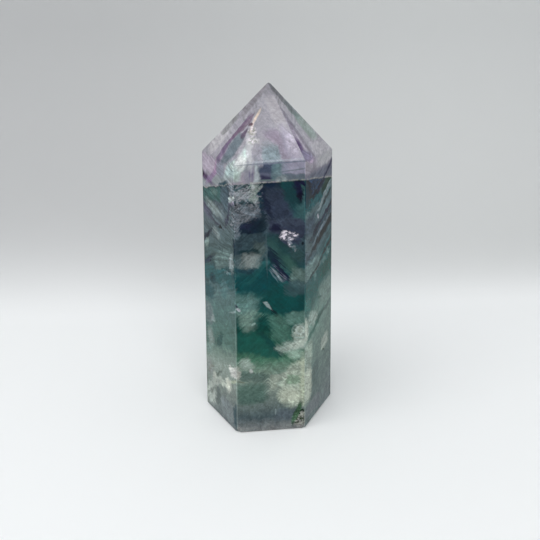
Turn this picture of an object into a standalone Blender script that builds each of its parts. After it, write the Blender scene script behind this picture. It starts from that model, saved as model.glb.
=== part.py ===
"""A polished fluorite point: a six-sided tapered prism cut from one crystal, with a six-facet tip.

The stone stands on its sawn and polished base at z = 0, with its long axis on Z and its front face
towards -Y. It was cut by hand, so its corners are a little off a true hexagon. Metres and degrees.
"""
import math

import bmesh
import bpy
from mathutils import Matrix, Vector

# Each upright edge: its bearing from +X, its distance from the axis at the base, and the height
# at which it ends in a shoulder corner.
UPRIGHT_EDGES = {
    "right": (0.5, 0.01995, 0.0801),
    "back right": (60.0, 0.0200, 0.0803),
    "back left": (120.0, 0.0200, 0.0803),
    "left": (181.5, 0.01995, 0.0806),
    "front left": (237.7, 0.0207, 0.0799),
    "front right": (298.6, 0.0193, 0.0806),
}
EDGES_MEET_AT = 0.860  # height where all six upright edges would cross the axis, which sets the taper
TIP = (0.0004, 0.0, 0.0986)  # where the six tip facets would meet if the tip were sharp

# The plain hexagonal blank that the corners above are cut from, and the turn that puts its first
# corner on +X.
BLANK_RADIUS = 0.020
BLANK_HEIGHT = 0.080
BLANK_TURN = 30.0

EDGE_WIDTH = 0.0003  # polished rounding on the upright edges, the shoulder and the tip
BASE_EDGE_WIDTH = 0.0005  # wider rounding ground round the rim of the base
EDGE_STEPS = 2

# Two knocks on the rim of the base: the edge each one sits on, the radius of the shell-shaped
# break, and how deep it goes in from the corner.
CHIPS = {
    "chip_front_left": ("front left", 0.0030, 0.00095),
    "chip_front_right": ("front right", 0.0042, 0.00060),
}
CHIP_LEAN = 28.0  # how far below the horizontal the knocks came from

CRYSTAL_COLOUR = (0.16, 0.30, 0.29, 1.0)  # the teal to grey-violet that the body averages to
CRYSTAL_ROUGHNESS = 0.06
CRYSTAL_CLEARNESS = 0.75
FLUORITE_IOR = 1.434


def remove_everything():
    for old in list(bpy.data.objects):
        bpy.data.objects.remove(old, do_unlink=True)


def new_collection(name, in_render):
    collection = bpy.data.collections.new(name)
    bpy.context.scene.collection.children.link(collection)
    collection.hide_render = not in_render
    return collection


def crystal_material():
    material = bpy.data.materials.new("rainbow fluorite")
    material.use_nodes = True
    shader = material.node_tree.nodes["Principled BSDF"]
    shader.inputs["Base Color"].default_value = CRYSTAL_COLOUR
    shader.inputs["Roughness"].default_value = CRYSTAL_ROUGHNESS
    shader.inputs["Metallic"].default_value = 0.0
    shader.inputs["Transmission Weight"].default_value = CRYSTAL_CLEARNESS
    shader.inputs["IOR"].default_value = FLUORITE_IOR
    return material


def corner(edge, height):
    """The point on an upright edge at this height."""
    bearing, radius, _ = UPRIGHT_EDGES[edge]
    angle = math.radians(bearing)
    reach = radius * (1 - height / EDGES_MEET_AT)
    return Vector((reach * math.cos(angle), reach * math.sin(angle), height))


def nearest_edge(point):
    """The upright edge whose bearing is closest to this point's."""
    def gap(edge):
        return point.xy.angle(corner(edge, 0).xy)
    return min(UPRIGHT_EDGES, key=gap)


def faceted_crystal():
    """A six-sided prism, its top poked up into the tip, then each corner set where it was cut."""
    shell = bmesh.new()
    upright = Matrix.Translation((0, 0, BLANK_HEIGHT / 2))
    turned = Matrix.Rotation(math.radians(BLANK_TURN), 4, "Z")
    bmesh.ops.create_cone(
        shell,
        cap_ends=True,
        segments=len(UPRIGHT_EDGES),
        radius1=BLANK_RADIUS,
        radius2=BLANK_RADIUS,
        depth=BLANK_HEIGHT,
        matrix=upright @ turned,
    )
    for vertex in shell.verts:
        edge = nearest_edge(vertex.co)
        shoulder = UPRIGHT_EDGES[edge][2]
        at_top = vertex.co.z > BLANK_HEIGHT / 2
        vertex.co = corner(edge, shoulder if at_top else 0)
    top = max(shell.faces, key=lambda face: face.calc_center_median().z)
    tip = bmesh.ops.poke(shell, faces=[top])["verts"][0]
    tip.co = Vector(TIP)
    bmesh.ops.recalc_face_normals(shell, faces=shell.faces)
    weigh_edges(shell)
    mesh = bpy.data.meshes.new("fluorite_point")
    shell.to_mesh(mesh)
    shell.free()
    return mesh


def weigh_edges(shell):
    """Give each edge its share of the widest rounding, which is the one round the base."""
    weight = shell.edges.layers.float.new("bevel_weight_edge")
    for edge in shell.edges:
        on_base = all(vertex.co.z == 0 for vertex in edge.verts)
        edge[weight] = 1.0 if on_base else EDGE_WIDTH / BASE_EDGE_WIDTH


def chip_cutter(name, collection):
    """A ball that bites a shell-shaped break out of a corner of the base."""
    edge, radius, depth = CHIPS[name]
    bearing = math.radians(UPRIGHT_EDGES[edge][0])
    lean = math.radians(CHIP_LEAN)
    outwards = Vector((
        math.cos(bearing) * math.cos(lean),
        math.sin(bearing) * math.cos(lean),
        -math.sin(lean),
    ))
    ball = bmesh.new()
    bmesh.ops.create_icosphere(ball, subdivisions=3, radius=radius)
    mesh = bpy.data.meshes.new(name)
    ball.to_mesh(mesh)
    ball.free()
    cutter = bpy.data.objects.new(name, mesh)
    cutter.location = corner(edge, 0) + outwards * (radius - depth)
    cutter.display_type = "WIRE"
    cutter.hide_render = True
    collection.objects.link(cutter)
    return cutter


def build_crystal():
    parts = new_collection("fluorite point", in_render=True)
    cutters = new_collection("cutters", in_render=False)
    crystal = bpy.data.objects.new("fluorite_point", faceted_crystal())
    crystal.data.materials.append(crystal_material())
    parts.objects.link(crystal)

    rounding = crystal.modifiers.new("polished edges", "BEVEL")
    rounding.width = BASE_EDGE_WIDTH
    rounding.segments = EDGE_STEPS
    rounding.limit_method = "WEIGHT"
    for name in CHIPS:
        bite = crystal.modifiers.new(name, "BOOLEAN")
        bite.operation = "DIFFERENCE"
        bite.solver = "EXACT"
        bite.object = chip_cutter(name, cutters)
    return crystal


remove_everything()
build_crystal()
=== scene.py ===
import math
import bpy
import bmesh
from mathutils import Matrix, Vector

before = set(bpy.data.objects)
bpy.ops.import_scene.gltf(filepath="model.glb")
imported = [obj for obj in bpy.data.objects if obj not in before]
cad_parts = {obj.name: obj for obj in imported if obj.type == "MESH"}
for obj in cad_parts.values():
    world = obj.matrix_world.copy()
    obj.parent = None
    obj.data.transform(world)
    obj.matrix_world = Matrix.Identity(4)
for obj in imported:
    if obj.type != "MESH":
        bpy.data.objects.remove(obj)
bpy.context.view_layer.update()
mm = 0.001
print("frame loaded")

# the camera, worked out from the corners of the stone in the photo
cameraLook = {
    "place": (-14.34, -176.98, 117.27),  # millimetres
    "target": (0.44, -0.04, 44.59),
    "roll": -0.363,  # degrees
    "lens": 43.18,
}


def makeCamera(look):
    place, target = Vector(look["place"]) * mm, Vector(look["target"]) * mm
    bpy.ops.object.camera_add(location=place)
    camera = bpy.context.object
    camera.name = "photoCamera"
    camera.data.sensor_width = 36
    camera.data.lens = look["lens"]
    camera.data.clip_start = 0.005
    camera.data.clip_end = 20
    facing = (target - place).to_track_quat("-Z", "Y").to_matrix()
    roll = Matrix.Rotation(math.radians(look["roll"]), 3, "Z")
    camera.rotation_euler = (facing @ roll).to_euler()
    bpy.context.scene.camera = camera


makeCamera(cameraLook)
print("camera set")


# shader maths: a Wire is a socket that can be added, multiplied and so on
class Wire:
    def __init__(self, tree, socket):
        self.tree = tree
        self.socket = socket

    def node(self, kind, settings, values, output=0):
        made = self.tree.nodes.new("ShaderNode" + kind)
        for name, value in settings.items():
            if name == "stops":
                ramp = made.color_ramp
                while len(ramp.elements) < len(value):
                    ramp.elements.new(1.0)
                for stop, (place, colour) in zip(ramp.elements, value):
                    stop.position = place
                    stop.color = (*colour, 1.0)
            else:
                setattr(made, name, value)
        for name, value in values.items():
            if isinstance(value, Wire):
                self.tree.links.new(value.socket, made.inputs[name])
            else:
                made.inputs[name].default_value = value
        return Wire(self.tree, made.outputs[output])

    def maths(self, operation, *values):
        vectors = [v for v in values if isinstance(v, Wire) and v.socket.type in ("VECTOR", "RGBA")]
        if vectors or any(isinstance(v, tuple) for v in values):
            values = [(v, v, v) if isinstance(v, (int, float)) else v for v in values]
            return self.node("VectorMath", {"operation": operation}, dict(enumerate(values)))
        return self.node("Math", {"operation": operation}, dict(enumerate(values)))

    def __add__(self, other): return self.maths("ADD", self, other)
    def __radd__(self, other): return self.maths("ADD", other, self)
    def __sub__(self, other): return self.maths("SUBTRACT", self, other)
    def __rsub__(self, other): return self.maths("SUBTRACT", other, self)
    def __mul__(self, other): return self.maths("MULTIPLY", self, other)
    def __rmul__(self, other): return self.maths("MULTIPLY", other, self)
    def __truediv__(self, other): return self.maths("DIVIDE", self, other)
    def __rtruediv__(self, other): return self.maths("DIVIDE", other, self)
    def __abs__(self): return self.maths("ABSOLUTE", self)

    def mixed(self, other, mask):
        return self + (other - self) * mask

    def dot(self, other):
        return self.node("VectorMath", {"operation": "DOT_PRODUCT"}, {0: self, 1: other}, "Value")

    def least(self, other):
        return self.maths("MINIMUM", self, other)

    def most(self, other):
        return self.maths("MAXIMUM", self, other)

    def above(self, level):
        return self.maths("GREATER_THAN", self, level)

    def fade(self, low, high, most=1.0):  # from 0 at low, eased, to the most at high
        return self.node("MapRange", {"interpolation_type": "SMOOTHSTEP", "clamp": False},
                         {"Value": self, "From Min": low, "From Max": high, "To Max": most})

    # as seen from a mirrored shape at this place, this big, turned to the left
    def placed(self, centre, size, turn):
        seen, (u, h), (wide, high) = self, centre, size
        if turn:
            # no two turns are quite equal: the renderer merges equal ones and runs out of room
            angle = math.radians(turn + u * 0.001)
            mirror = (-math.sin(angle / 2), math.cos(angle / 2), 0.0)
            seen = self.node("VectorMath", {"operation": "REFLECT"}, {0: self, 1: mirror})
            c, s = math.cos(angle), math.sin(angle)
            u, h = u * c + h * s, u * s - h * c
        return self.node("VectorMath", {"operation": "MULTIPLY_ADD"},
                         {0: seen, 1: (1 / wide, 1 / high, 0.0), 2: (-u / wide, -h / high, 0.0)})

    def noise(self, scale, detail=2.0, roughness=0.5, distortion=0.0, output="Fac"):
        return self.node("TexNoise", {}, {"Vector": self, "Scale": scale, "Detail": detail,
                                          "Roughness": roughness, "Distortion": distortion}, output)

    def tint(self, mask, colour):  # this colour, with another laid over it where the mask is
        return self.node("Mix", {"data_type": "RGBA"}, {0: mask, 6: self, 7: colour}, 2)


def paint(*tone):  # a colour as a screen shows it, 0 to 255, as light
    parts = [value / 255 for value in tone]
    return tuple(v / 12.92 if v < 0.04045 else ((v + 0.055) / 1.055) ** 2.4 for v in parts)


def newFinish(name):
    material = bpy.data.materials.new(name)
    material.use_nodes = True
    tree = material.node_tree
    tree.nodes.clear()
    spot = Wire(tree, tree.nodes.new("ShaderNodeTexCoord").outputs["Object"])
    return material, spot


def finishWith(spot, shader):
    out = spot.tree.nodes.new("ShaderNodeOutputMaterial")
    spot.tree.links.new(shader.socket, out.inputs["Surface"])


def principled(spot, **values):
    sockets = {name.replace("_", " "): value for name, value in values.items()}
    return spot.node("BsdfPrincipled", {}, sockets)


# the six sides of the stone, each between two upright edges given by bearing from +X and radius.
# Unrolled, they share three places on a strip: a back side has its opposite side's pattern, as
# seen from behind, stretched in height to fit under the slanting parting plane
uprightEdges = {
    "right": (0.5, 19.95), "backRight": (60.0, 20.0), "backLeft": (120.0, 20.0),
    "left": (181.5, 19.95), "frontLeft": (237.7, 20.7), "frontRight": (298.6, 19.3),
}
sides = {  # first edge, last edge, whose pattern, stretch in height
    "front": ("frontLeft", "frontRight", "front", 1.0),
    "right": ("frontRight", "right", "right", 1.0),
    "backRight": ("right", "backRight", "left", 1.042),
    "back": ("backRight", "backLeft", "front", 1.127),
    "backLeft": ("backLeft", "left", "right", 1.085),
    "left": ("left", "frontLeft", "left", 1.0),
}
middles = {"left": -24, "front": 0, "right": 24}  # where on the strip each pattern has its middle
edgeHighlightSpan = (0.42, 0.12)  # how far from an upright edge its painted highlight line ends and is at its fullest


def edgeFoot(edge):
    bearing, radius = uprightEdges[edge]
    return Matrix.Rotation(math.radians(bearing), 3, "Z") @ Vector((radius, 0, 0))


def unroll(place):
    # in millimetres, the way along the strip, the height and its stretch, then masks of the
    # patterns and of the upright edges
    past, on, edges = {}, {"left": 0.0, "front": 0.0, "right": 0.0}, 0.0
    for edge in uprightEdges:
        foot = edgeFoot(edge).normalized()
        beside = place.dot((-foot.y, foot.x, 0.0))
        past[edge] = beside.above(0.0)
        if edge not in ("left", "right"):
            near = place.dot((foot.x, foot.y, 0.0))
            edges = abs(beside).fade(*edgeHighlightSpan) * near.above(0.0) + edges
    way, stretch = 0.0, 0.0
    for first, last, pattern, taller in sides.values():
        start, end = edgeFoot(first), edgeFoot(last)
        patternStart, patternEnd = (edgeFoot(edge) for edge in sides[pattern][:2])
        along = (patternEnd - patternStart).normalized()
        here = past[first] * (1 - past[last])
        on[pattern] = here + on[pattern]
        middle = middles[pattern] - (start + end).dot(along) / 2
        way = here * (place.dot((along.x, along.y, 0.0)) + middle) + way
        stretch = here * taller + stretch
    return way, place.dot((0.0, 0.0, 1.0)), stretch, on, edges


# shapes on the strip, each a mask of this softness and strength
def oval(strip, side, soft, strength, centre, size, turn=0):
    spot = strip.placed((centre[0] + middles[side], centre[1]), size, turn)
    rim = 2 * soft / min(size)
    return spot.dot(spot).fade(1 + rim, max(0.0, 1 - rim), strength)


def slab(strip, side, soft, strength, centre, size, turn=0):  # a rounded rectangle
    spot = strip.placed((centre[0] + middles[side], centre[1]), size, turn)
    spot = spot * spot
    rim = 4 * soft / min(size)
    return spot.dot(spot).fade(1 + rim, max(0.0, 1 - rim), strength)


def block(strip, side, soft, strength, *corners):  # straight sides, no corner points inwards
    corners = [(u + middles[side], h) for u, h in corners]
    pairs = list(zip(corners, corners[1:] + corners[:1]))
    way = 1 if sum(u * nextH - nextU * h for (u, h), (nextU, nextH) in pairs) > 0 else -1
    inside = None
    for (u, h), (nextU, nextH) in pairs:
        inward = Vector((h - nextH, nextU - u)).normalized() * way
        depth = strip.dot((inward.x, inward.y, -(inward.x * u + inward.y * h)))
        inside = depth if inside is None else inside.least(depth)
    return inside.fade(-soft, soft, strength)


def stroke(strip, side, soft, strength, start, end, width):
    (u, h), (toU, toH) = start, end
    way = Vector((toU - u, toH - h))
    centre, size = ((u + toU) / 2, (h + toH) / 2), (way.length / 2, width / 2)
    return oval(strip, side, soft, strength, centre, size, math.degrees(math.atan2(way.y, way.x)))


def ring(strip, side, soft, strength, centre, radius, width):
    spot = strip.placed((centre[0] + middles[side], centre[1]), (1, 1), 0)
    away = spot.node("VectorMath", {"operation": "LENGTH"}, {0: spot}, "Value")
    half = width / 2
    return abs(away - radius).fade(half + soft, max(0.0, half - soft), strength)


crystalLook = {
    "ior": 1.434,
    "roughness": 0.015,
    "milkRoughness": 0.16,
    "shine": 0.06,
    "gleam": (0.4, 0.4, 0.4, 1),
    "depth": 11.0,  # the clear stone's colour is its surface colour squared, times this
    # the tone of the painted glints on cleavage shards
    "shardGlintTone": (238, 230, 240),
    "seamTone": (168, 170, 158),
    # the tone of the painted highlight along the upright edges
    "edgeHighlightTone": (150, 162, 158),
    # noise patterns in the stone: scale, detail, roughness, distortion
    "noises": {
        "sway": (0.16, 2.0, 0.5, 0.0),
        "swirl": (0.45, 2.0, 0.5, 0.0),
        "fray": (0.6, 5.0, 0.62, 0.6),
        "smoke": (0.45, 6.0, 0.62, 1.2),
        "grain": (1.9, 4.0, 0.7),
        "layers": (1.0, 4.0, 0.6),
        "upright": (1.0, 4.0, 0.6),
        "fibres": (1.0, 3.0, 0.7),
        "clumps": (1.1, 4.0, 0.6),
        "cracks": (0.9, 3.0, 0.55),
        "parting": (0.3, 5.0, 0.62),
    },
    "reach": {"sway": 4.5, "swirl": 3.6, "fray": 2.6},  # millimetres each of these moves a pattern
    # growth layers: where on the strip they start or turn, and how steeply they climb
    "turns": {"left": -24.0, "front": -0.8, "right": 19.0},
    "climbs": {"left": 0.45, "leftTop": -0.35, "front": 0.9, "right": 0.47},
    "leftBend": (48.0, 64.0),  # heights between which the left side's layers change their climb
    "foot": (15.0, 9.0),  # heights between which the layers give way to upright streaks
    # how far each pattern lightens or darkens the stone, in stops, and what they take off together
    "shade": {
        "smoke": 5.0, "grain": 2.2, "streaks": 2.8, "sideStreaks": 4.0, "cracks": 0.3, "all": 3.6,
    },
    # how far each warp bends the three kinds of outline, below and above the parting plane
    "darkOutlines": {
        "crisp": {"swirl": 0.06},
        "even": {"comb": 1.0, "swirl": 0.7, "fray": 0.2},
        "ragged": {"comb": 0.6, "swirl": 0.4, "fray": 0.8},
    },
    "paleOutlines": {
        "crisp": {"swirl": 0.06},
        "even": {"sway": 0.3, "swirl": 0.4},
        "ragged": {"sway": 0.3, "fray": 0.8},
    },
    # pale stone above and dark below are parted by a plane: height on the axis, slopes in x and y
    "parting": (71.35, 0.05, -0.25),
    # bands of colour: how steeply they climb to the right on each side, then height and colour
    "bands": {
        "front": (0.0, {
            "foot": (0.0, (141, 144, 144)), "greyFoot": (5.0, (81, 96, 101)),
            "cloud": (17.0, (147, 161, 150)), "green": (24.0, (74, 116, 96)),
            "teal": (33.0, (3, 66, 60)), "tealTop": (47.0, (31, 87, 88)),
            "slate": (54.0, (42, 71, 77)), "violet": (69.0, (79, 92, 106)),
            "underParting": (75.0, (3, 38, 9)),
        }),
        "right": (0.477, {
            "foot": (0.0, (115, 128, 130)), "greyFoot": (10.0, (99, 118, 115)),
            "cloud": (24.0, (106, 129, 122)), "mint": (35.0, (116, 145, 137)),
            "teal": (43.0, (23, 83, 80)), "tealTop": (48.0, (29, 85, 85)),
            "slate": (59.0, (82, 99, 109)), "greyGreen": (70.0, (87, 114, 116)),
            "underParting": (75.0, (20, 20, 30)),
        }),
        "left": (0.25, {
            "foot": (0.0, (112, 122, 125)), "greyFoot": (9.0, (128, 140, 135)),
            "cloud": (18.0, (156, 171, 161)), "green": (26.0, (81, 116, 107)),
            "mint": (42.0, (91, 119, 120)), "teal": (47.0, (3, 62, 68)),
            "slate": (54.0, (75, 97, 98)), "grey": (66.0, (104, 118, 124)),
            "underParting": (72.0, (3, 29, 50)),
        }),
    },
    # above the parting plane, by height alone
    "paleBands": {
        "parting": (70.0, (150, 144, 156)), "lavender": (76.0, (154, 148, 160)),
        "shoulder": (80.2, (160, 156, 166)), "facet": (80.8, (168, 165, 174)),
        "facetMiddle": (88.0, (172, 169, 178)), "facetTop": (94.0, (170, 168, 176)),
        "tip": (98.6, (146, 144, 152)),
    },
    # milk, mottle and the amount of painted shard glint where no mark says otherwise
    "body": (0.75, 0.5, 0.0),
    "paleBody": (0.75, 0.3, 0.0),
    # how each kind of mark is laid: outline, softness in millimetres, strength, its body if it has
    # its own, and the pattern that breaks it up
    "kinds": {
        "haze": ("even", 1.3, 0.85, None),
        "deep": ("even", 0.9, 0.92, (0.6, 0.3, 0.0)),
        "dark": ("even", 0.5, 0.92, None),
        "band": ("even", 0.35, 0.85, None),
        "faint": ("even", 0.4, 0.4, None),
        "glow": ("even", 0.8, 0.45, None),
        "line": ("crisp", 0.2, 0.6, None),
        "crisp": ("crisp", 0.2, 0.95, None),
        "moss": ("crisp", 0.25, 0.95, (1.0, 1.6, 0.0)),
        "mossy": ("crisp", 0.4, 0.9, (1.0, 1.3, 0.0), "clumps"),
        "hairs": ("crisp", 0.4, 0.95, (0.9, 0.9, 0.0), "fibres"),
        "veil": ("ragged", 0.5, 0.9, (0.9, 1.1, 0.2)),
        "veilLow": ("ragged", 0.7, 0.85, (0.9, 1.2, 0.1)),
        "cloud": ("ragged", 0.8, 0.92, (0.95, 0.7, 0.0)),
        "soft": ("ragged", 1.4, 0.85, (0.9, 0.6, 0.0)),
        # cleavage shards, their brighter cells painted glints
        "shards": ("ragged", 0.4, 0.9, (0.95, 0.6, 0.95)),
    },
}

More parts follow.
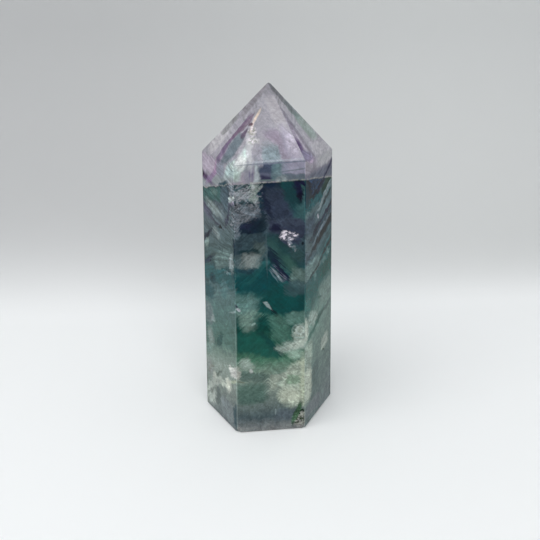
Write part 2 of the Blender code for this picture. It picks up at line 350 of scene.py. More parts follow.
# what is laid over the bands on each side, in turn, below the parting plane and then above it:
# shape, kind, colour, where
darkMarks = {
    "front": {
        "veil": (block, "veil", (65, 84, 90), (-10.9, 76), (-2.2, 76), (-1.7, 72.4), (-2, 68.6),
                 (-11, 68.8)),
        "veilLow": (block, "veilLow", (87, 95, 101), (-10.4, 69.4), (-2.2, 69.4), (-2, 66.8),
                    (-4.4, 65.2), (-7.8, 63.6), (-10.8, 63.2)),
        "veilTail": (block, "veilLow", (98, 109, 117), (-11, 65), (-7.4, 64.8), (-8.4, 60.8),
                     (-9.4, 58.8), (-11, 58.8)),
        "veilOlive": (slab, "haze", (129, 142, 136), (-3.6, 73.4), (0.9, 2.2), -8),
        "veilBright": (slab, "haze", (119, 126, 130), (-7.4, 72), (2.4, 0.9), 4),
        "veilBand": (stroke, "faint", (8, 3, 11), (-9.8, 69.4), (-3.2, 69.8), 0.9),
        "veilEdge": (stroke, "dark", (3, 34, 49), (-2, 75.8), (-1.4, 66.4), 1.1),
        "darkLeft": (block, "dark", (3, 26, 45), (-8, 61.2), (-7.6, 64), (-4, 66), (-1.6, 65.6),
                     (-2, 61.6)),
        "darkCore": (oval, "dark", (32, 38, 62), (-6.2, 63.3), (1.5, 0.8), 20),
        "tealDark": (oval, "haze", (17, 38, 49), (-2, 64), (0.9, 2.2), 0),
        "greyUnder": (slab, "haze", (49, 67, 74), (-5, 59.8), (3.4, 1.3), 8),
        "greyLeft": (slab, "haze", (50, 67, 76), (-8.9, 57.2), (1.8, 2.2), 0),
        "olive": (slab, "haze", (79, 94, 93), (-2.9, 57), (1.6, 1.9), 0),
        "creamTop": (slab, "haze", (3, 38, 43), (-5.6, 56), (2.2, 1.0), 0),
        "creamPatch": (oval, "soft", (132, 140, 138), (-5.3, 53.8), (2.6, 2.1), 20),
        "paleLeft": (slab, "haze", (76, 94, 98), (-9.3, 54.2), (1.2, 1.4), 0),
        "tealTop": (block, "deep", (3, 30, 55), (-1.6, 76.8), (3, 76.8), (3.2, 74.2), (-1.2, 72.6)),
        "purpleGrey": (block, "haze", (43, 52, 72), (-1, 73.8), (3.4, 73.8), (6.6, 66), (5.6, 65.2),
                       (-0.2, 65.2)),
        "purpleDark": (stroke, "dark", (25, 34, 57), (-1.3, 72.6), (0.4, 65.8), 1.1),
        "greenBand": (block, "deep", (16, 66, 71), (2.6, 76.8), (5.4, 76.8), (9.5, 70), (9.7, 65.4),
                      (7.2, 65.2), (4.6, 69.8)),
        "greenPale": (oval, "haze", (65, 103, 106), (8.4, 67.2), (1.5, 2.0), -20),
        "navyWedge": (block, "dark", (20, 21, 55), (5.4, 76), (9.3, 76), (9.3, 70.3), (8.4, 70.5)),
        # cornerStrip: a painted highlight line along the front's right upright edge
        "cornerStrip": (stroke, "haze", (52, 88, 90), (10, 76), (10, 66), 0.9),
        "bed": (block, "dark", (51, 58, 77), (-0.4, 65.4), (9.4, 65), (9.4, 60.6), (7.6, 58.2),
                (4, 57.6), (0.2, 60.4)),
        "bedPurple": (slab, "haze", (62, 71, 88), (5.4, 64.6), (2.4, 0.6), -4),
        "greenDiagonal": (slab, "deep", (32, 68, 71), (3.8, 55.4), (6.2, 1.6), -56),
        "greenGlow": (oval, "haze", (50, 85, 83), (1.5, 57.3), (0.9, 2.1), 28),
        "oliveMid": (oval, "haze", (63, 101, 93), (5.4, 52.4), (1.3, 2.4), 30),
        "mossDark": (oval, "dark", (44, 70, 71), (7.7, 55.4), (1.7, 1.7), 15),
        "cornerSpot": (oval, "crisp", (4, 12, 22), (8.9, 58.5), (0.3, 0.4), 20),
        "clusterShade": (oval, "dark", (16, 20, 46), (2.0, 62.9), (1.5, 1.1), 10),
        "shoulderShade": (oval, "dark", (3, 3, 32), (8.7, 71.7), (0.9, 1.7), -20),
        "cluster": (oval, "shards", (84, 86, 98), (5.0, 60.6), (2.1, 1.3), -10),
        "clusterFoot": (oval, "shards", (133, 139, 150), (5.6, 58.6), (0.7, 1.3), 15),
        "clusterFringe": (oval, "veil", (46, 77, 82), (6.6, 57), (1.2, 1.0), -30),
        "oliveFoot": (slab, "soft", (95, 115, 110), (8, 48.6), (2.4, 2.4), -15),
        "navyStrip": (block, "dark", (17, 40, 55), (-0.5, 57.8), (0.3, 57.8), (2.3, 54),
                      (1.5, 52.2), (-0.4, 52.8)),
        "navyTail": (stroke, "dark", (20, 23, 52), (1.2, 53.8), (5.6, 46.8), 1.5),
        "teal": (block, "deep", (3, 71, 76), (-11, 50.4), (-3, 51.8), (0.6, 53.4), (2.8, 47),
                 (-2, 44.6), (-11, 45.4)),
        "tealWedge": (stroke, "dark", (29, 64, 75), (-9.4, 51.8), (-3, 50.9), 1.5),
        "tealHaze": (stroke, "glow", (41, 109, 107), (-6.4, 47.6), (-1, 53.4), 1.8),
        "tealRight": (block, "deep", (3, 72, 72), (0.6, 47.4), (9.8, 45.4), (9.8, 38.6), (3, 37.6),
                      (-2.8, 42)),
        "hairs": (slab, "hairs", (103, 105, 118), (2.1, 50), (0.9, 2.6), 40),
        "hairs2": (stroke, "crisp", (142, 152, 159), (0.7, 51.3), (3.1, 48.2), 0.5),
        "hairs3": (stroke, "line", (135, 155, 167), (0.1, 50.6), (1.9, 48.2), 0.3),
        "greyBar": (slab, "haze", (63, 87, 92), (7.4, 45.4), (2.6, 1.9), 6),
        # cornerLeft: a painted highlight line along the front's left upright edge
        "cornerLeft": (stroke, "haze", (76, 104, 104), (-10.2, 53), (-10.2, 43), 0.9),
        "innerLine": (stroke, "line", (78, 98, 103), (-0.9, 60.5), (-0.8, 50.5), 0.5),
        "paleGreen": (block, "soft", (99, 130, 126), (-10.6, 44), (-5.4, 44.6), (-3.2, 42.8),
                      (-4.2, 38.4), (-9.8, 38.4)),
        "mintLeft": (block, "soft", (113, 136, 127), (-9.2, 39), (-3.4, 39.6), (-4.6, 34.8),
                     (-6.4, 32), (-8.2, 35.4)),
        "mintSpeck": (oval, "crisp", (151, 175, 169), (-4.8, 35.6), (0.65, 0.35), 40),
        "mintStroke": (stroke, "hairs", (90, 121, 109), (-5, 38.8), (-1.6, 37.9), 1.6),
        "sparkDark": (stroke, "crisp", (44, 40, 66), (-10.6, 41.8), (-9.2, 40.6), 0.8),
        # sparkLeft, sparkLeft2 and spark: small cleavage cracks, their brightness painted glints
        "sparkLeft": (oval, "crisp", (172, 174, 182), (-8.9, 39.9), (0.7, 0.35), -25),
        "sparkLeft2": (oval, "crisp", (160, 172, 176), (-10.1, 39.9), (0.5, 0.25), 10),
        "spark": (block, "crisp", (161, 176, 176), (-1.9, 41.9), (-0.9, 42), (0.6, 39.5),
                  (-1.1, 40.5)),
        "sparkTail": (stroke, "dark", (3, 3, 20), (0.8, 39.4), (4.8, 33.4), 0.55),
        "midGreen": (block, "haze", (76, 114, 103), (-0.6, 38), (4.2, 37.2), (5.8, 33), (4.8, 28.4),
                     (0.6, 30.6)),
        "paleRight": (slab, "haze", (97, 131, 122), (7.6, 36.4), (2.8, 1.6), 0),
        "tealLow": (block, "deep", (22, 85, 77), (-11, 32.4), (-3.4, 33.2), (3.8, 26), (2.4, 24),
                    (-11, 27.6)),
        "tealShadow": (stroke, "dark", (7, 67, 66), (-3.6, 32.6), (2.6, 26.2), 1.3),
        "curl": (oval, "cloud", (157, 168, 158), (8.6, 31.2), (2.4, 3.2), 0),
        "crescent": (block, "cloud", (140, 156, 148), (1.2, 27.7), (3, 25.9), (5, 25.5),
                     (10.8, 27.5), (10.8, 31), (5.4, 29.4), (2, 28.6)),
        "crescentRim": (stroke, "soft", (177, 188, 178), (6, 27.6), (10.6, 29.8), 1.4),
        "curlRing": (ring, "crisp", (174, 189, 183), (8.3, 32.6), 1.2, 0.5),
        "curlRing2": (ring, "line", (139, 163, 156), (8.2, 32.3), 2.2, 0.5),
        "cloudLeft": (oval, "soft", (151, 164, 156), (-7, 22.9), (1.6, 1.9), 0),
        "cloudMint": (oval, "soft", (146, 170, 156), (7.5, 25.0), (1.7, 1.3), 0),
        "cloudTip": (oval, "crisp", (206, 210, 207), (-5.7, 20.5), (0.45, 0.8), 10),
        "greyHollow": (slab, "haze", (87, 108, 102), (-5.6, 18.6), (3.4, 1.2), -10),
        "cloudEdge": (oval, "cloud", (173, 172, 165), (-10, 19.9), (1.3, 2.1), 0),
        "edgeTail": (stroke, "crisp", (119, 127, 112), (-9.9, 17.3), (-7.2, 16.9), 0.5),
        "greenFoot": (slab, "haze", (79, 109, 100), (-6, 13.2), (4.6, 3.4), 0),
        "bigCloud": (block, "cloud", (159, 171, 157), (-0.9, 16.4), (0.2, 18.7), (5.0, 21.2),
                     (6.6, 25.4), (10.8, 27.8), (10.8, 8), (5.2, 8.0), (2.6, 9.8), (0.4, 12.6)),
        "cloudTop": (slab, "haze", (152, 162, 149), (3, 18.4), (2.6, 0.8), 10),
        "cloudHeart": (oval, "soft", (189, 196, 179), (6, 11.6), (3.4, 2.1), -10),
        "cloudKnob": (oval, "soft", (160, 171, 157), (0.9, 16.2), (1.0, 1.4), 0),
        "cloudRight": (oval, "soft", (173, 182, 161), (9.5, 16.5), (0.9, 5.4), 0),
        "cloudHole": (slab, "haze", (119, 143, 123), (6.6, 17.1), (1.5, 1.3), 0),
        "footPurple": (slab, "haze", (94, 106, 114), (4.4, 5.2), (2.8, 1.8), 0),
        "footStreak": (stroke, "line", (157, 174, 176), (1.3, 7.4), (1.35, 5.6), 0.5),
        "chipGrey": (oval, "crisp", (153, 155, 153), (-9.7, 1.1), (0.9, 0.8), 0),
        "beigeFoot": (slab, "veil", (137, 139, 130), (8.9, 3.4), (1.5, 2.6), 0),
        "moss": (block, "mossy", (3, 31, 3), (8.6, 11.4), (9.8, 8.4), (10.1, 2.4), (6.3, 1.4),
                 (7.6, 5)),
        "mossLeg": (stroke, "moss", (56, 83, 62), (8.8, 9.6), (6.5, 1.3), 1.6),
    },
    "right": {
        "vFill": (block, "haze", (37, 58, 85), (-7.6, 76.4), (7, 74), (2, 71.2), (-1.2, 69.9),
                  (-5, 69.9)),
        "vGreen": (block, "deep", (3, 53, 67), (-11, 77), (-8.4, 76.4), (-6, 70.6), (-7, 67.6),
                   (-11, 68.2)),
        "vTeal": (slab, "haze", (3, 81, 88), (-1.5, 68.6), (6.4, 1.2), 8),
        "vTealRight": (slab, "haze", (3, 46, 23), (5.6, 71.6), (3.6, 1.1), 26),
        "vLeft": (stroke, "band", (3, 3, 25), (-8.4, 77), (-4.8, 69.8), 1.5),
        "vFoot": (stroke, "band", (3, 3, 3), (-5.8, 69.9), (-0.6, 70.4), 1.1),
        "vRight": (stroke, "dark", (3, 3, 41), (-3.4, 69.8), (7.4, 75.2), 1.3),
        "greyLeft": (slab, "haze", (57, 74, 90), (-6.6, 62.4), (3.4, 2.2), 8),
        "bandPurple": (stroke, "haze", (39, 62, 72), (-6, 57), (13, 65.4), 1.8),
        "greyStripe": (stroke, "band", (137, 149, 153), (-1.8, 65.2), (8.4, 70.8), 1.2),
        "stripeDark": (stroke, "band", (3, 3, 3), (1.4, 65.3), (9.6, 69.7), 0.9),
        "lineDark": (stroke, "dark", (3, 3, 41), (-5.4, 58.7), (13.6, 67.6), 1.1),
        "greyLine": (stroke, "band", (114, 131, 142), (-6.6, 55.6), (10, 63.2), 0.8),
        "paleSpot": (oval, "crisp", (192, 191, 200), (-0.8, 63.4), (0.4, 0.8), 25),
        "patchLight": (slab, "soft", (84, 103, 106), (-7, 56.4), (2, 1.0), -20),
        "bandDark": (stroke, "dark", (3, 3, 3), (-7, 53.4), (14.4, 63.8), 2.2),
        "creamBand": (slab, "soft", (109, 133, 131), (-5.6, 49.6), (5.6, 1.9), 8),
        "lineLow": (stroke, "band", (3, 3, 3), (0.4, 50), (12.4, 56), 0.9),
        "lineLow2": (stroke, "band", (3, 3, 3), (-6.6, 47), (-0.6, 49), 0.7),
        "spotPale": (oval, "soft", (90, 120, 120), (6.5, 51.2), (0.9, 0.5), -20),
        "spotPale2": (oval, "soft", (79, 110, 109), (3.5, 49.4), (0.9, 0.5), 0),
        "spotPale3": (oval, "soft", (89, 123, 121), (-3, 46.7), (0.8, 0.7), -30),
        "tealMid": (slab, "haze", (3, 77, 68), (5.2, 46.4), (4.2, 2.0), 12),
        "tealSide": (slab, "haze", (23, 86, 83), (-6, 43.4), (3, 1.6), -10),
        "tealCorner": (slab, "deep", (47, 116, 110), (-8.6, 39.6), (2.6, 1.8), 0),
        "paleLow": (slab, "soft", (108, 128, 123), (5, 39.4), (4.2, 3.0), 10),
        "dotDark": (oval, "dark", (4, 73, 56), (0.3, 38.9), (0.6, 0.35), -30),
        "curlSpill": (oval, "cloud", (194, 204, 192), (-9.4, 32), (1.9, 4), 8),
        "curlHaze": (slab, "soft", (152, 168, 160), (-4.6, 33.9), (2.8, 1.7), -20),
        "darkLine": (stroke, "haze", (20, 82, 70), (-5.8, 29.2), (1.4, 33), 1.4),
        "darkLineRight": (stroke, "faint", (3, 33, 37), (-0.8, 32.1), (12, 35.8), 1.1),
        "cloudUpper": (slab, "cloud", (150, 166, 154), (-7.8, 23.8), (2.9, 3.6), 0),
        "cloudLower": (slab, "cloud", (181, 190, 175), (-8.2, 14), (2.9, 5.8), 0),
        "cloudShade": (slab, "haze", (81, 101, 98), (-2.4, 15.4), (1.9, 3.4), 0),
        "paleBlot": (slab, "soft", (158, 169, 160), (4.3, 22.6), (2.3, 1.9), 8),
        "blotSpeck": (oval, "crisp", (3, 49, 8), (3.6, 20), (0.6, 0.35), -30),
        "edgeMint": (stroke, "faint", (150, 164, 159), (-11, 7.5), (-4.6, 6.8), 1.2),
        "footPurple": (slab, "haze", (122, 131, 136), (-4.5, 4.6), (5, 2.0), 0),
        # painted shade: silhouetteShade, outline and silhouetteShadeLow are dark lines along the
        # right pattern's far upright edge
        "silhouetteShade": (stroke, "haze", (56, 68, 74), (10, 68), (10, 50), 1.1),
        "outline": (stroke, "band", (64, 76, 78), (10, 80), (10, 42), 1.4),
        "silhouetteShadeLow": (stroke, "haze", (92, 106, 106), (10, 46), (10, -4), 1.0),
    },
    "left": {
        "green": (slab, "haze", (70, 107, 103), (-3.6, 69.8), (5.6, 1.7), 10),
        "greenPale": (oval, "haze", (104, 132, 127), (-2, 70.8), (1.2, 0.7), 10),
        "blueGrey": (slab, "haze", (79, 98, 107), (4, 71), (1.7, 3.6), 0),
        "veilSide": (slab, "veil", (117, 129, 137), (8.4, 72.6), (2.3, 2.4), 8),
        "veilSpot": (slab, "veil", (170, 182, 178), (8.6, 70.6), (2.0, 1.1), 8),
        "veilStreak": (stroke, "band", (134, 121, 149), (7, 69.2), (12.4, 70.6), 0.9),
        "veilStreak2": (stroke, "band", (61, 61, 81), (3.8, 62.2), (7.4, 69.8), 1.1),
        "veilFoot": (slab, "veil", (71, 86, 92), (8.4, 65.2), (1.7, 2.8), 0),
        "creamPatch": (stroke, "soft", (145, 159, 158), (-5.4, 67.2), (0, 65.2), 1.5),
        "purplePatch": (stroke, "haze", (86, 84, 105), (-9.4, 66.4), (-4.6, 63.6), 2.0),
        "purpleLine": (stroke, "band", (81, 84, 99), (-5.4, 64.1), (1.6, 61.6), 0.8),
        "darkSpot": (oval, "dark", (3, 3, 3), (1.1, 61.4), (0.8, 0.4), 10),
        "palePatch": (oval, "soft", (129, 142, 143), (-1.4, 59.2), (1.5, 0.8), -25),
        "purpleStripe": (stroke, "band", (3, 3, 43), (-11.4, 53.1), (-3.8, 60), 1.7),
        "paleDotLow": (oval, "soft", (131, 151, 146), (-6.8, 54.8), (0.6, 1.0), -20),
        "darkRight": (slab, "dark", (3, 24, 46), (9.4, 57.6), (1.2, 2.3), 0),
        "olive": (slab, "soft", (99, 120, 118), (2.4, 52.6), (4.6, 2.0), 26),
        "creamBlob": (oval, "soft", (151, 165, 167), (7.3, 53), (0.7, 1.8), 0),
        "purpleStripe2": (stroke, "band", (31, 45, 68), (-10.4, 47.1), (-3.6, 51.9), 1.1),
        "paleSpecks": (stroke, "veil", (82, 136, 139), (3.2, 49.1), (6.2, 49.6), 0.8),
        "tealLow": (slab, "haze", (45, 97, 100), (-1, 46.6), (7.8, 1.9), 6),
        "tealDark": (oval, "haze", (3, 51, 60), (-4, 45), (1.4, 1.2), 20),
        "tealPale": (slab, "haze", (86, 124, 126), (2.6, 44), (1.6, 2.2), 0),
        "blueLow": (slab, "haze", (35, 83, 90), (-6.6, 40), (3, 2.0), 10),
        "pinkGrey": (slab, "haze", (119, 131, 134), (-7, 33), (2.4, 3), 0),
        "paleDotGrey": (oval, "soft", (144, 153, 154), (-4.4, 32), (0.8, 0.7), 20),
        "paleStreak": (stroke, "crisp", (146, 167, 168), (6, 37.9), (11.2, 40.4), 0.5),
        "darkPatch": (slab, "haze", (36, 77, 75), (-0.2, 27), (0.9, 2.4), -25),
        "paleLow": (oval, "soft", (121, 145, 139), (-7.6, 20.8), (1.6, 1.2), 0),
        "paleArc": (oval, "soft", (146, 161, 157), (-6.2, 25.6), (1.7, 2.6), 0),
        "cloud": (slab, "cloud", (214, 215, 210), (8.3, 19.6), (2.5, 1.4), 14),
        "creamStreak": (stroke, "crisp", (184, 196, 172), (4.6, 15.1), (11, 18.2), 0.9),
        "creamDrop": (oval, "cloud", (219, 223, 210), (4.5, 14), (1.6, 2.4), 0),
        "palePool": (oval, "soft", (200, 208, 196), (1, 12.9), (1.6, 1.0), 5),
        "greyPink": (slab, "haze", (148, 155, 152), (-7, 14.4), (1.6, 2.2), 0),
        "darkStreak": (stroke, "band", (138, 140, 132), (-7.8, 13.2), (-4.8, 16.2), 0.8),
        "darkStreak2": (stroke, "band", (91, 106, 95), (-3, 12.8), (-0.2, 16.2), 0.9),
        "mintSpot": (oval, "soft", (192, 197, 187), (-3.8, 12.4), (0.9, 1.3), 0),
        "mintStreak": (stroke, "soft", (168, 176, 168), (-9, 6.2), (-2, 12), 1.7),
        "paleFoot": (block, "soft", (185, 195, 187), (-11, 1.4), (-11, 6.4), (-3.4, 7.4),
                     (-3.6, 3.4), (-7, 1.2)),
        "footLine": (stroke, "band", (133, 142, 135), (-8.8, 4.7), (-2.8, 9.4), 0.8),
        "footShade": (slab, "haze", (107, 121, 117), (-1.6, 6.8), (1.2, 2.2), 0),
        "footBlue": (slab, "haze", (136, 147, 150), (3.6, 4.6), (3.6, 3.4), 0),
        "footDark": (slab, "haze", (44, 78, 89), (9.5, 5.4), (1.3, 3.2), 0),
        # painted shade: outline and silhouetteShadeLow are dark lines along the left pattern's far
        # upright edge
        "outline": (stroke, "band", (74, 78, 86), (-10.1, 82), (-10.1, 42), 1.4),
        "silhouetteShadeLow": (stroke, "haze", (104, 116, 114), (-10, 46), (-10, -4), 0.8),
    },
}

paleMarks = {
    "front": {
        "leftGrey": (slab, "haze", (163, 181, 173), (-9, 77.2), (1.6, 1.4), 0),
        "greyPink": (slab, "haze", (135, 136, 148), (-4.3, 78.2), (1.5, 3), 0),
        "middleGrey": (slab, "haze", (172, 183, 186), (-2.9, 77.8), (0.5, 2), 0),
        "tealMint": (oval, "soft", (125, 143, 150), (0.7, 81.4), (3.2, 3.2), 20),
        "purpleArchLow": (slab, "haze", (147, 138, 154), (3.9, 83), (0.7, 1.8), 14),
        "indigo": (block, "band", (72, 81, 103), (-2.4, 80.2), (1.0, 80.2), (1.1, 76.0),
                   (-1.9, 76.0), (-2.5, 78)),
        "indigoTop": (slab, "dark", (65, 74, 95), (-0.7, 79.2), (2.0, 1.0), 0),
        "underDark": (block, "dark", (47, 47, 73), (-2.3, 77.2), (3.6, 77.2), (3.6, 75.4),
                      (-2.3, 75.4)),
        "tealGrey": (slab, "haze", (99, 126, 131), (2.7, 78.1), (1.8, 2), 0),
        "lavender": (slab, "haze", (148, 147, 167), (6.8, 78.8), (2.8, 1.2), 0),
        "lavenderFoot": (slab, "haze", (81, 98, 108), (7, 76.3), (3, 0.9), 0),
        "pinkLine": (stroke, "line", (94, 83, 119), (-4.9, 80.2), (-5, 76.6), 0.35),
        "pinkLine2": (stroke, "line", (100, 89, 122), (-4.1, 82.8), (-4.3, 76.4), 0.4),
        "crackle": (stroke, "line", (89, 106, 110), (3.6, 77.9), (9.4, 78.6), 0.25),
        "crumbs": (stroke, "line", (115, 135, 131), (-2.8, 75.8), (2, 75.8), 0.4),
        "crumbPeak": (oval, "soft", (124, 133, 136), (3.3, 76.1), (0.9, 0.6), 0),
        # flash, flashCore and flashStrip: a cleavage crack, its silvery brightness a painted
        # reflection
        "flash": (block, "cloud", (203, 226, 218), (-5.6, 84), (-5.3, 82), (-6.5, 78.4),
                  (-9.6, 76.8), (-9.9, 78.8), (-7.4, 81.4)),
        "flashCore": (oval, "soft", (245, 245, 245), (-6.9, 80.1), (0.9, 1.3), -30),
        "flashStrip": (stroke, "haze", (214, 215, 219), (-4.5, 84.6), (-4.6, 80.6), 0.8),
        "pinkLow": (slab, "haze", (157, 155, 166), (-2.3, 81.8), (0.4, 1.4), 0),
        "purpleArch": (oval, "haze", (165, 151, 170), (1.8, 86.2), (1.8, 1.0), -15),
        "tipPale": (slab, "haze", (190, 186, 192), (3.2, 91), (1.3, 3.2), 20),
        "lavenderBand": (block, "haze", (166, 160, 182), (3, 88.6), (4.4, 88.4), (8.8, 80.4),
                         (5.2, 80.4), (4.6, 83.6)),
        "lavenderLight": (oval, "soft", (186, 179, 194), (6.4, 84), (0.8, 2.4), 22),
        "shardsTop": (oval, "shards", (163, 161, 152), (-3.5, 87.2), (0.9, 1.1), -10),
        "shardsLow": (oval, "shards", (164, 166, 161), (-3.5, 85.1), (1.4, 0.7), 0),
        # crack and crackLow: a crack near the tip, its cream-gold brightness a painted glint
        "crack": (stroke, "crisp", (237, 218, 201), (-1.1, 92), (-3.2, 89.1), 0.5),
        "crackLow": (stroke, "crisp", (242, 226, 222), (-3, 89.6), (-3.9, 87.4), 0.45),
        "crackBrown": (oval, "crisp", (104, 74, 86), (-3.7, 88.8), (0.45, 0.3), 30),
        # painted edge shading at the shoulder: shoulder is a thin painted shade line,
        # shoulderHighlight a painted highlight just above
        "shoulder": (stroke, "crisp", (115, 121, 138), (-5, 79.95), (13, 80.55), 0.3),
        "shoulderHighlight": (stroke, "line", (174, 180, 192), (-3.6, 80.5), (11.5, 81.1), 0.25),
    },
    "right": {
        "lavender": (block, "haze", (90, 98, 114), (-11, 80), (4, 77.2), (11, 77.6), (11, 72),
                     (-11, 74.6)),
        "greyRight": (slab, "haze", (184, 184, 188), (4, 78.8), (4.6, 1.3), 0),
        "purpleTop": (oval, "haze", (202, 181, 211), (-6, 80.4), (1.8, 0.8), -20),
        "vArm": (stroke, "band", (3, 3, 63), (1.4, 72.8), (13, 79.4), 1.3),
        "leftGrey": (slab, "haze", (191, 183, 199), (-5.2, 87), (1.6, 3.6), -16),
        "middlePale": (slab, "haze", (179, 177, 187), (-1.9, 85.6), (1.2, 4.6), 0),
        "streak": (stroke, "haze", (136, 131, 145), (-3.9, 92), (-3.9, 81.6), 1.0),
        "ridgeHaze": (slab, "haze", (155, 146, 164), (-6.3, 86.2), (0.8, 2.2), -25),
        "ridgePurple": (oval, "haze", (78, 53, 102), (-7.3, 83.4), (1.2, 1.5), -25),
        "ridgeFoot": (slab, "haze", (133, 128, 154), (-7, 81.2), (1.9, 0.9), 0),
        "green": (slab, "haze", (147, 163, 156), (2.8, 86.8), (2.2, 2.8), 12),
        "ridgeGreen": (slab, "haze", (133, 156, 154), (1.2, 91.4), (1.0, 2.0), 18),
        "ridgeDark": (slab, "haze", (110, 112, 117), (0.1, 94.4), (0.8, 3.2), 18),
        "paleRight": (slab, "haze", (185, 183, 190), (3.6, 81.6), (4, 1.0), 0),
    },
    "left": {
        "pink": (slab, "haze", (191, 178, 196), (-5, 77.8), (3.4, 1.9), 0),
        "seamGrey": (stroke, "haze", (154, 165, 166), (-12, 71), (13, 77.9), 1.9),
        "seamDark": (slab, "dark", (3, 59, 74), (3.4, 73.7), (2.4, 0.9), 15),
        "purpleLine": (stroke, "haze", (78, 47, 92), (-9, 74.6), (-4.2, 73.2), 1.0),
        "purpleTurn": (stroke, "haze", (142, 120, 154), (-5, 73.4), (-0.6, 76.6), 1.0),
        "purpleDark": (oval, "dark", (3, 3, 3), (-8.8, 75), (1.0, 1.1), -30),
        "purpleRise": (stroke, "haze", (176, 144, 176), (-1.2, 76.8), (1.6, 81.4), 1.3),
        "blueGrey": (slab, "haze", (137, 144, 157), (1.7, 77.8), (1.8, 2.0), -10),
        # flashSide: the cleavage crack where it reaches the left side, its brightness a painted
        # reflection
        "flashSide": (block, "cloud", (173, 193, 193), (11, 81.6), (11, 77.2), (4.2, 76),
                      (4.2, 77.4), (7, 80.6)),
        "topGrey": (slab, "haze", (145, 141, 148), (-1.2, 94), (1.4, 3.2), -10),
        "paleGrey": (slab, "haze", (195, 192, 196), (-4.7, 84), (2, 2.6), -10),
        "greenGrey": (slab, "haze", (143, 143, 144), (-4.3, 87.6), (0.8, 1.8), -16),
        "purpleBand": (slab, "dark", (116, 94, 120), (1, 86.2), (0.7, 3.9), -6),
        "purpleBandLow": (slab, "haze", (114, 101, 125), (0.6, 82), (0.7, 1.8), 0),
        "mauve": (slab, "haze", (124, 105, 123), (2.4, 89), (0.8, 2.4), -20),
        "tealGrey": (slab, "haze", (102, 119, 127), (3.9, 83), (1.9, 2.9), 0),
        "darkSpot": (oval, "dark", (91, 77, 97), (4.6, 86.6), (1.1, 0.9), -40),
        "brownSpot": (oval, "crisp", (98, 74, 88), (4.2, 88.7), (0.7, 0.4), 0),
        # flash: a cleavage crack, its brightness a painted reflection
        "flash": (slab, "cloud", (188, 202, 198), (8.7, 80.2), (1.0, 1.4), -30),
    },
}


def colourBands(height, bands):  # each band blends into the next one up
    stops = [(level / 100, paint(*tone)) for level, tone in bands.values()]
    return height.node("ValToRGB", {"stops": stops}, {0: height / 100.0})


def bend(strip, warps, amounts):
    for name, amount in amounts.items():
        strip = strip + warps[name] * amount
    return strip


def growthLayers(look, way, height, on):  # the level of each spot within the slanting layers
    turns, climbs = look["turns"], look["climbs"]
    leftClimb = climbs["left"] - climbs["leftTop"]
    return (height - (way - turns["left"]) * on["left"]
            * (climbs["left"] - height.fade(*look["leftBend"], leftClimb))
            + abs(way - turns["front"]) * on["front"] * climbs["front"]
            - abs(way - turns["right"]) * on["right"] * climbs["right"])


def layMarks(colour, body, marks, kinds, outlines, patterns):
    for side, named in marks.items():
        for shape, kind, tone, *where in named.values():
            outline, softness, strength, within, *cover = kinds[kind]
            mask = shape(outlines[outline], side, softness, strength, *where)
            for pattern in cover:
                mask = mask * patterns[pattern]
            colour = colour.tint(mask, (*paint(*tone), 1))
            if within:
                body = body.tint(mask, (*within, 1))
    return colour, body


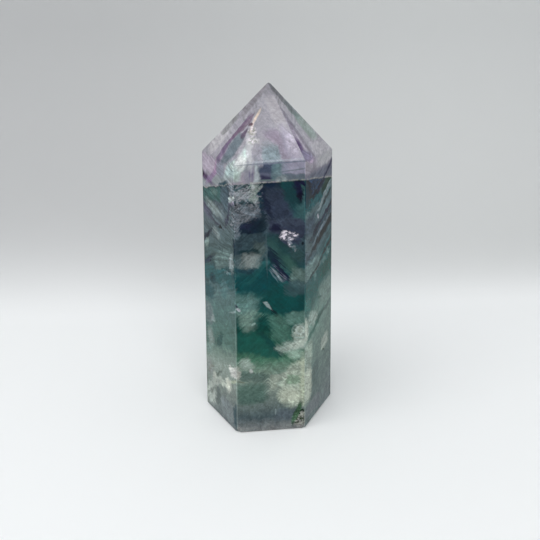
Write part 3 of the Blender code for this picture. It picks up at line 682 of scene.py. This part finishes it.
def crystalFinish(look):
    material, spot = newFinish("rainbowFluorite")
    noises, kinds = look["noises"], look["kinds"]
    place = spot * 1000.0
    way, height, stretch, on, edges = unroll(place)
    flat = place.node("CombineXYZ", {}, {0: way, 1: height, 2: 1.0})

    # warps, which bend the outlines and the patterns
    warps = {name: (place.noise(*noises[name], "Color") - 0.5) * (reach, reach, 0.0)
             for name, reach in look["reach"].items()}
    sway, swirl, fray = warps["sway"], warps["swirl"], warps["fray"]
    smoke = (place + swirl).noise(*noises["smoke"])
    grain = place.noise(*noises["grain"])

    # streaks: growth layers that slant on the sides, chevrons on the front, upright at its foot
    level = growthLayers(look, way, height, on)
    layers = place.node("CombineXYZ", {}, {0: way * 0.12, 1: level * 1.3, 2: 1.0})
    layers = (layers + sway * (0.12, 0.7, 0.0)).noise(*noises["layers"])
    upright = (flat * (0.9, 0.25, 0.0) + fray * 0.5).noise(*noises["upright"])
    streaks = layers.mixed(upright, height.fade(*look["foot"]))
    fibres = flat * (0.3, 0.0, 1.0) + place.node("CombineXYZ", {}, {1: level * 2.6})
    fibres = fibres.noise(*noises["fibres"]).fade(0.46, 0.6)
    clumps = (place + fray * 0.4).noise(*noises["clumps"]).fade(0.42, 0.56)
    # painted glints: cells of cleavage shards, the brighter ones lightened towards the glint tone
    cells = flat.node("TexVoronoi", {"voronoi_dimensions": "2D"},
                      {"Vector": (flat + fray * 0.5) * (1.0, 1.5, 0.0), "Scale": 2.0}, "Color")
    shards = cells.dot((0.6, 0.4, 0.0)).fade(0.46, 0.72)
    cracks = abs((place + fray * 0.5).noise(*noises["cracks"]) - 0.5).fade(0.035, 0.0)
    patterns = {"fibres": fibres, "clumps": clumps}
    # the comb draws outlines out along the streaks
    warps["comb"] = place.node("CombineXYZ", {}, {0: streaks * 4.0 - 2.0})

    # below the parting plane
    tall = place.node("CombineXYZ", {}, {0: way, 1: height * stretch, 2: 1.0}) + sway * 0.35
    outlines = {name: bend(tall, warps, amounts) for name, amounts in look["darkOutlines"].items()}
    colour = None
    for side, (slope, bands) in look["bands"].items():
        banded = colourBands(outlines["even"].dot((-slope, 1.0, slope * middles[side])), bands)
        colour = banded if colour is None else colour.tint(on[side], banded)
    body = spot.node("CombineColor", {}, dict(enumerate(look["body"])))
    colour, body = layMarks(colour, body, darkMarks, kinds, outlines, patterns)

    # above the parting plane
    outlines = {name: bend(flat, warps, amounts) for name, amounts in look["paleOutlines"].items()}
    paleColour = colourBands(height, look["paleBands"])
    paleBody = spot.node("CombineColor", {}, dict(enumerate(look["paleBody"])))
    paleColour, paleBody = layMarks(paleColour, paleBody, paleMarks, kinds, outlines, patterns)
    top, topX, topY = look["parting"]
    rough = (place.noise(*noises["parting"]) - 0.5) * (on["left"] * 1.4 + 0.9)
    above = place.dot((-topX, -topY, 1.0)) - top + rough
    pale = above.fade(-0.15, 0.15)
    colour = colour.tint(pale, paleColour)
    body = body.tint(pale, paleBody)
    seam = abs(above - 0.12).fade(0.4, 0.0, 0.55) * clumps  # cream crumbs along the parting
    colour = colour.tint(seam, (*paint(*look["seamTone"]), 1))

    # smoke, grain, streaks and cracks darken the colour; painted glints lighten the shards and a
    # painted highlight lightens the upright edges
    milk, mottle, glintAmount = (body.dot(axis) for axis in ((1, 0, 0), (0, 1, 0), (0, 0, 1)))
    shade = look["shade"]
    streaked = (1.0 - on["front"]) * height.fade(38.0, 56.0, shade["sideStreaks"]) + shade["streaks"]
    stops = smoke * shade["smoke"] + grain * shade["grain"] + (streaks - 0.5) * streaked
    stops = (stops - shade["all"] - cracks * shade["cracks"]) * mottle
    colour = colour * colour.maths("POWER", 2.0, stops)
    colour = colour.tint(shards * glintAmount, (*paint(*look["shardGlintTone"]), 1))
    # painted highlight: the upright edges are lightened towards the highlight tone, fullest low down
    rim = edges * height.fade(46.0, 30.0, 0.4) * (smoke + 0.2)
    colour = colour.tint(rim, (*paint(*look["edgeHighlightTone"]), 1))
    milk = milk.most(edges * height.fade(81.0, 80.0))

    # light crosses the clear stone twice
    deep = (colour * colour * look["depth"]).least((1.0, 1.0, 1.0))
    clear = principled(spot, Base_Color=deep, Transmission_Weight=1.0, Roughness=look["roughness"],
                       IOR=look["ior"], Specular_IOR_Level=look["shine"], Specular_Tint=look["gleam"])
    milky = principled(spot, Base_Color=colour, Roughness=look["milkRoughness"], IOR=look["ior"],
                       Specular_IOR_Level=look["shine"])
    finishWith(spot, spot.node("MixShader", {}, {0: milk, 1: clear, 2: milky}))
    return material


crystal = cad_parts["fluorite_point"]
crystal.data.materials.clear()
crystal.data.materials.append(crystalFinish(crystalLook))
print("crystal finished")

# stage: a pale box, open at the top, with rounded corners, its walls greyed with painted shade, and
# soft light from the left and front
stageLook = {
    "low": (-0.7, -0.9, -0.0001),
    "high": (0.7, 0.17, 0.8),
    "bend": 0.11,
    # painted shade: the walls' grey, darker on the left than on the right
    "floor": (0.89, 0.90, 0.905),
    "shadedWallLeft": (0.50, 0.505, 0.51),
    "shadedWallRight": (0.61, 0.62, 0.62),
    # the height by which the floor's white has mostly turned to the walls' painted shade, left and
    # right
    "shadeRise": (0.009, 0.0035),
}


def makeCove(look):
    low, high = Vector(look["low"]), Vector(look["high"])
    bpy.ops.mesh.primitive_cube_add(size=1, location=(low + high) / 2, scale=high - low)
    cove = bpy.context.object
    cove.name = "studioCove"
    bpy.ops.object.transform_apply(location=True, rotation=True, scale=True)
    bpy.ops.object.mode_set(mode="EDIT")
    bpy.ops.mesh.select_mode(type="FACE")
    bpy.ops.mesh.select_all(action="DESELECT")
    shell = bmesh.from_edit_mesh(cove.data)
    for face in shell.faces:
        face.select = face.normal.z > 0.9
    bmesh.update_edit_mesh(cove.data)
    bpy.ops.mesh.delete(type="FACE")
    bpy.ops.mesh.select_all(action="SELECT")
    bpy.ops.mesh.flip_normals()
    bpy.ops.object.mode_set(mode="OBJECT")
    bend = cove.modifiers.new("bend", "BEVEL")
    bend.width = look["bend"]
    bend.segments = 24
    bpy.ops.object.modifier_apply(modifier="bend")
    bpy.ops.object.shade_smooth()
    material, spot = newFinish("palePaper")
    across, height = spot.dot((1.0, 0.0, 0.0)), spot.dot((0.0, 0.0, 1.0))
    left, right = look["shadeRise"]
    side = across.fade(-0.12, 0.12)
    # painted shade: the floor's white fades with height into the walls' grey, over a height that
    # differs from left to right
    floorLit = height.maths("POWER", 2.718, height.most(0.0) / (side * (left - right) - left))
    shadedWall = spot.node("Mix", {"data_type": "RGBA"},
                     {0: side, 6: (*look["shadedWallLeft"], 1), 7: (*look["shadedWallRight"], 1)}, 2)
    paper = shadedWall.tint(floorLit, (*look["floor"], 1))
    finishWith(spot, principled(spot, Base_Color=paper, Roughness=0.9, Specular_IOR_Level=0.1))
    cove.data.materials.append(material)


lightLook = {
    "world": ((0.96, 0.98, 0.99, 1), 0.88),
    "lamps": {  # place, aimed at, size, watts, colour
        "softLeft": ((-0.30, -0.22, 0.62), (0, 0, 0), (0.5, 0.5), 1.8, (1, 1, 1)),
        "softFront": ((0.10, -0.55, 0.45), (0, 0, 0.03), (0.4, 0.3), 1.15, (1, 1, 1)),
    },
}


def makeLights(look):
    world = bpy.data.worlds.new("studioAir")
    bpy.context.scene.world = world
    world.use_nodes = True
    colour, strength = look["world"]
    sky = world.node_tree.nodes["Background"]
    sky.inputs["Color"].default_value = colour
    sky.inputs["Strength"].default_value = strength
    for name, (place, target, size, watts, tone) in look["lamps"].items():
        bpy.ops.object.light_add(type="AREA", location=place)
        lamp = bpy.context.object
        lamp.name = name
        lamp.data.shape = "RECTANGLE"
        lamp.data.size, lamp.data.size_y = size
        lamp.data.energy = watts
        lamp.data.color = tone
        lamp.rotation_euler = (Vector(target) - Vector(place)).to_track_quat("-Z", "Y").to_euler()
    bpy.context.scene.view_settings.view_transform = "Standard"


bpy.ops.object.select_all(action="DESELECT")
makeCove(stageLook)
makeLights(lightLook)
print("stage and light set")
